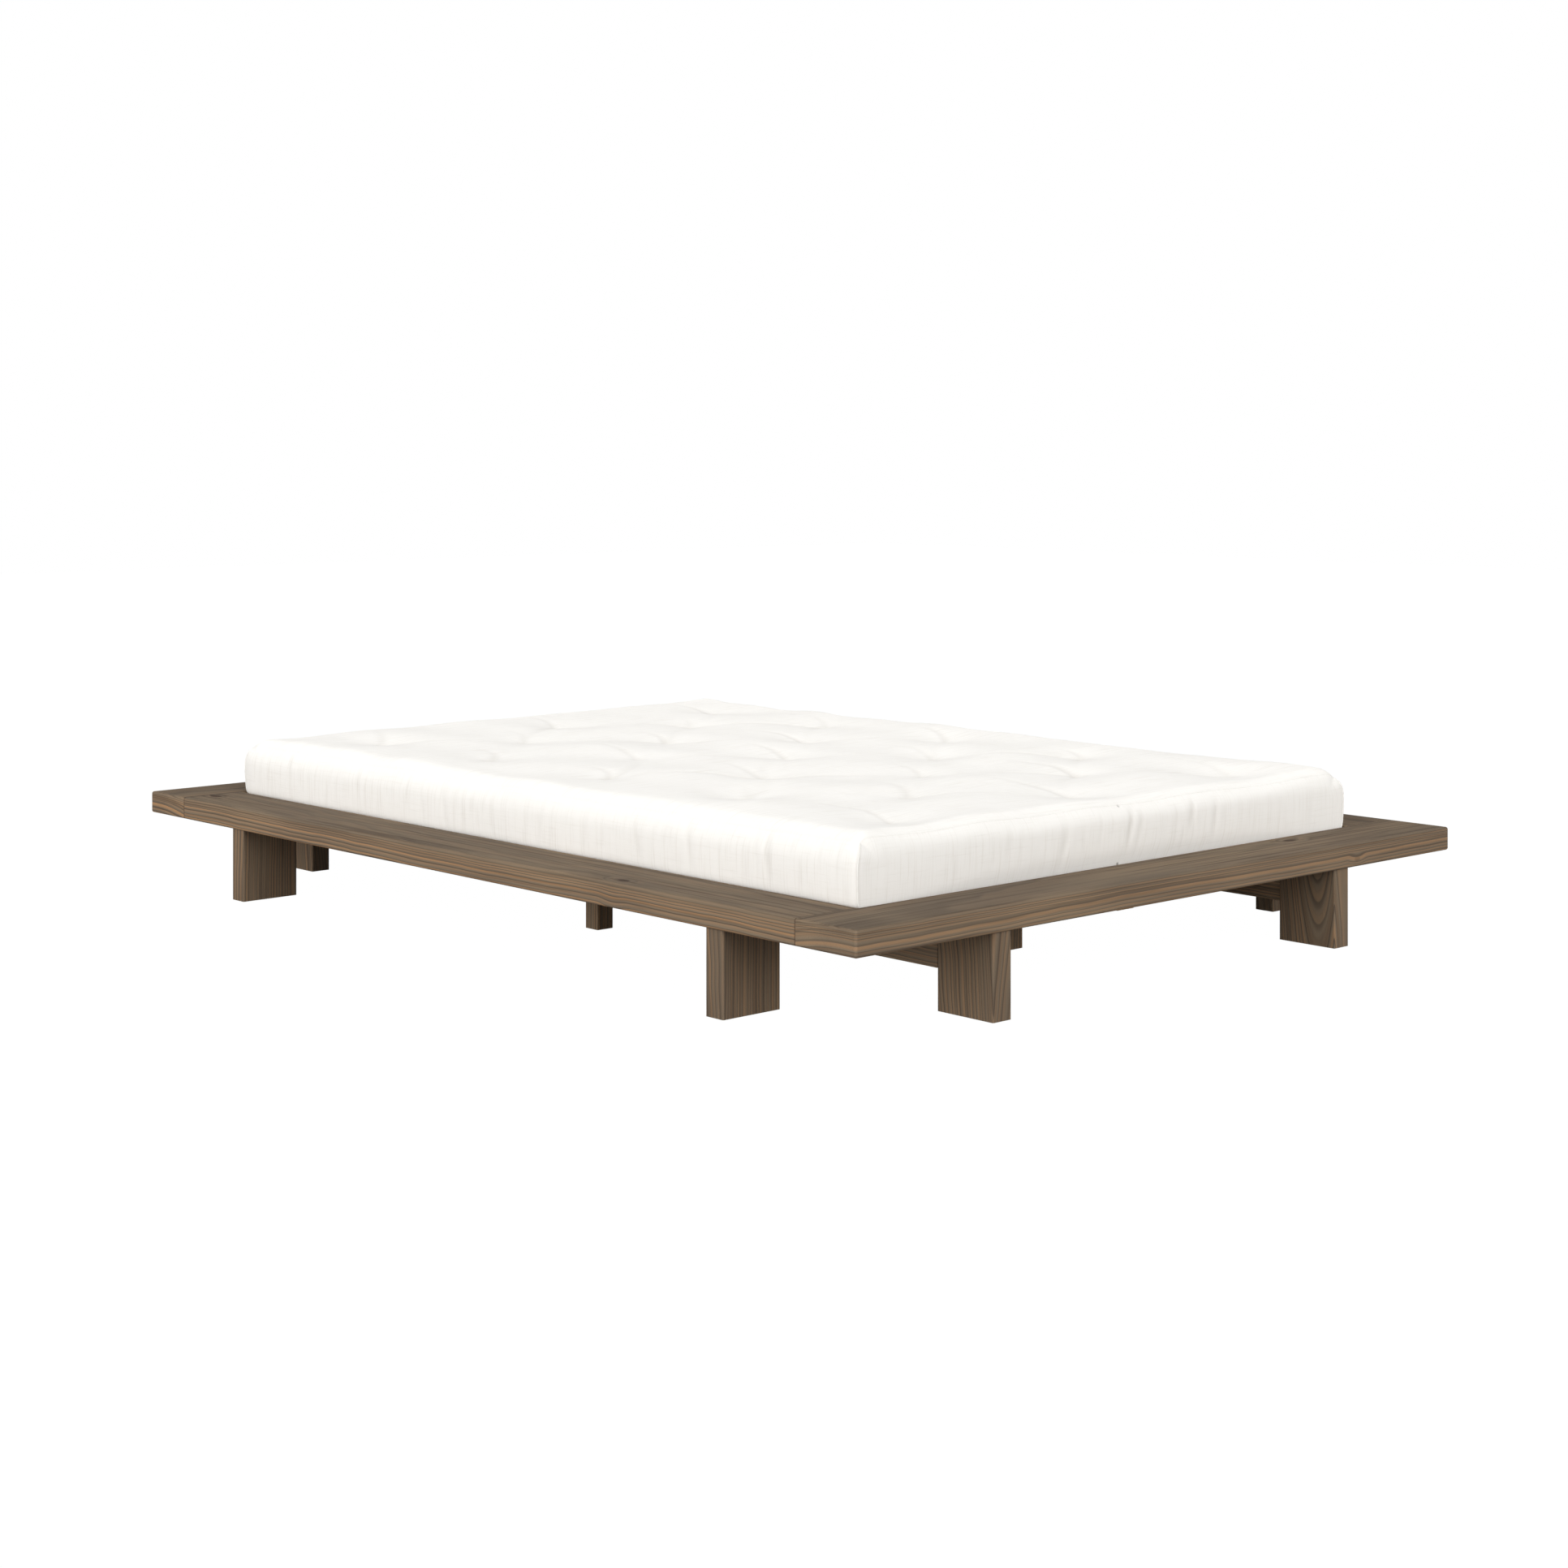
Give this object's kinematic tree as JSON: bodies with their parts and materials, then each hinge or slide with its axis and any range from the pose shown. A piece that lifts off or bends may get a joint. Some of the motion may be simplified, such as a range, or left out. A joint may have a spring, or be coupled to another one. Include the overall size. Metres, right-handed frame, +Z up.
{
  "type": "platform bed frame",
  "caption": "Low platform bed with a wide flat wooden border on board legs, slats inside the border and a tufted futon mattress that lifts off.",
  "frame": {"origin": "on the floor, under the centre of the bed", "axes": "+Z up, +Y along the length towards the head end, +X across the width towards the right side seen from the foot"},
  "size_m": [1.69, 2.29, 0.3193],
  "materials": {
    "stained_pine": "pine stained grey brown, matt lacquer, grain and knots showing",
    "raw_pine": "planed, untreated pine",
    "cotton_cover": "natural off-white cotton weave, soft and matt",
    "zinc_steel": "zinc plated, dull"
  },
  "bodies": {
    "frame": {"angle_bracket_screws": "zinc_steel", "angle_brackets": "zinc_steel", "beam_dowels": "raw_pine", "beam_post_left": "stained_pine", "beam_post_right": "stained_pine", "centre_rail": "raw_pine", "corner_dowels": "raw_pine", "corner_plate_screws": "zinc_steel", "corner_plates": "zinc_steel", "cross_beam_foot": "stained_pine", "cross_beam_head": "stained_pine", "end_board_foot": "stained_pine", "end_board_head": "stained_pine", "foot_end_leg_left": "stained_pine", "foot_end_leg_right": "stained_pine", "head_end_leg_left": "stained_pine", "head_end_leg_right": "stained_pine", "ledge_screws": "zinc_steel", "left_side_leg_foot": "stained_pine", "left_side_leg_head": "stained_pine", "leg_dowels": "raw_pine", "long_beam_left": "stained_pine", "long_beam_right": "stained_pine", "post_bolt_nuts": "zinc_steel", "post_bolt_washers": "zinc_steel", "post_bolts": "zinc_steel", "rail_post_dowels": "raw_pine", "rail_post_foot": "stained_pine", "rail_post_head": "stained_pine", "rail_post_middle": "stained_pine", "rail_screws": "zinc_steel", "right_side_leg_foot": "stained_pine", "right_side_leg_head": "stained_pine", "side_board_left": "stained_pine", "side_board_right": "stained_pine", "slat_01": "raw_pine", "slat_02": "raw_pine", "slat_03": "raw_pine", "slat_04": "raw_pine", "slat_05": "raw_pine", "slat_06": "raw_pine", "slat_07": "raw_pine", "slat_08": "raw_pine", "slat_09": "raw_pine", "slat_10": "raw_pine", "slat_11": "raw_pine", "slat_12": "raw_pine", "slat_13": "raw_pine", "slat_14": "raw_pine", "slat_ledge_left": "raw_pine", "slat_ledge_right": "raw_pine", "slat_screws": "zinc_steel"},
    "mattress": {"mattress": "cotton_cover"}
  },
  "joints": [
    {"name": "mattress_lift", "type": "slide", "parent": "frame", "child": "mattress", "axis": [0, 0, 1], "range_m": [0, 0.3]}
  ]
}
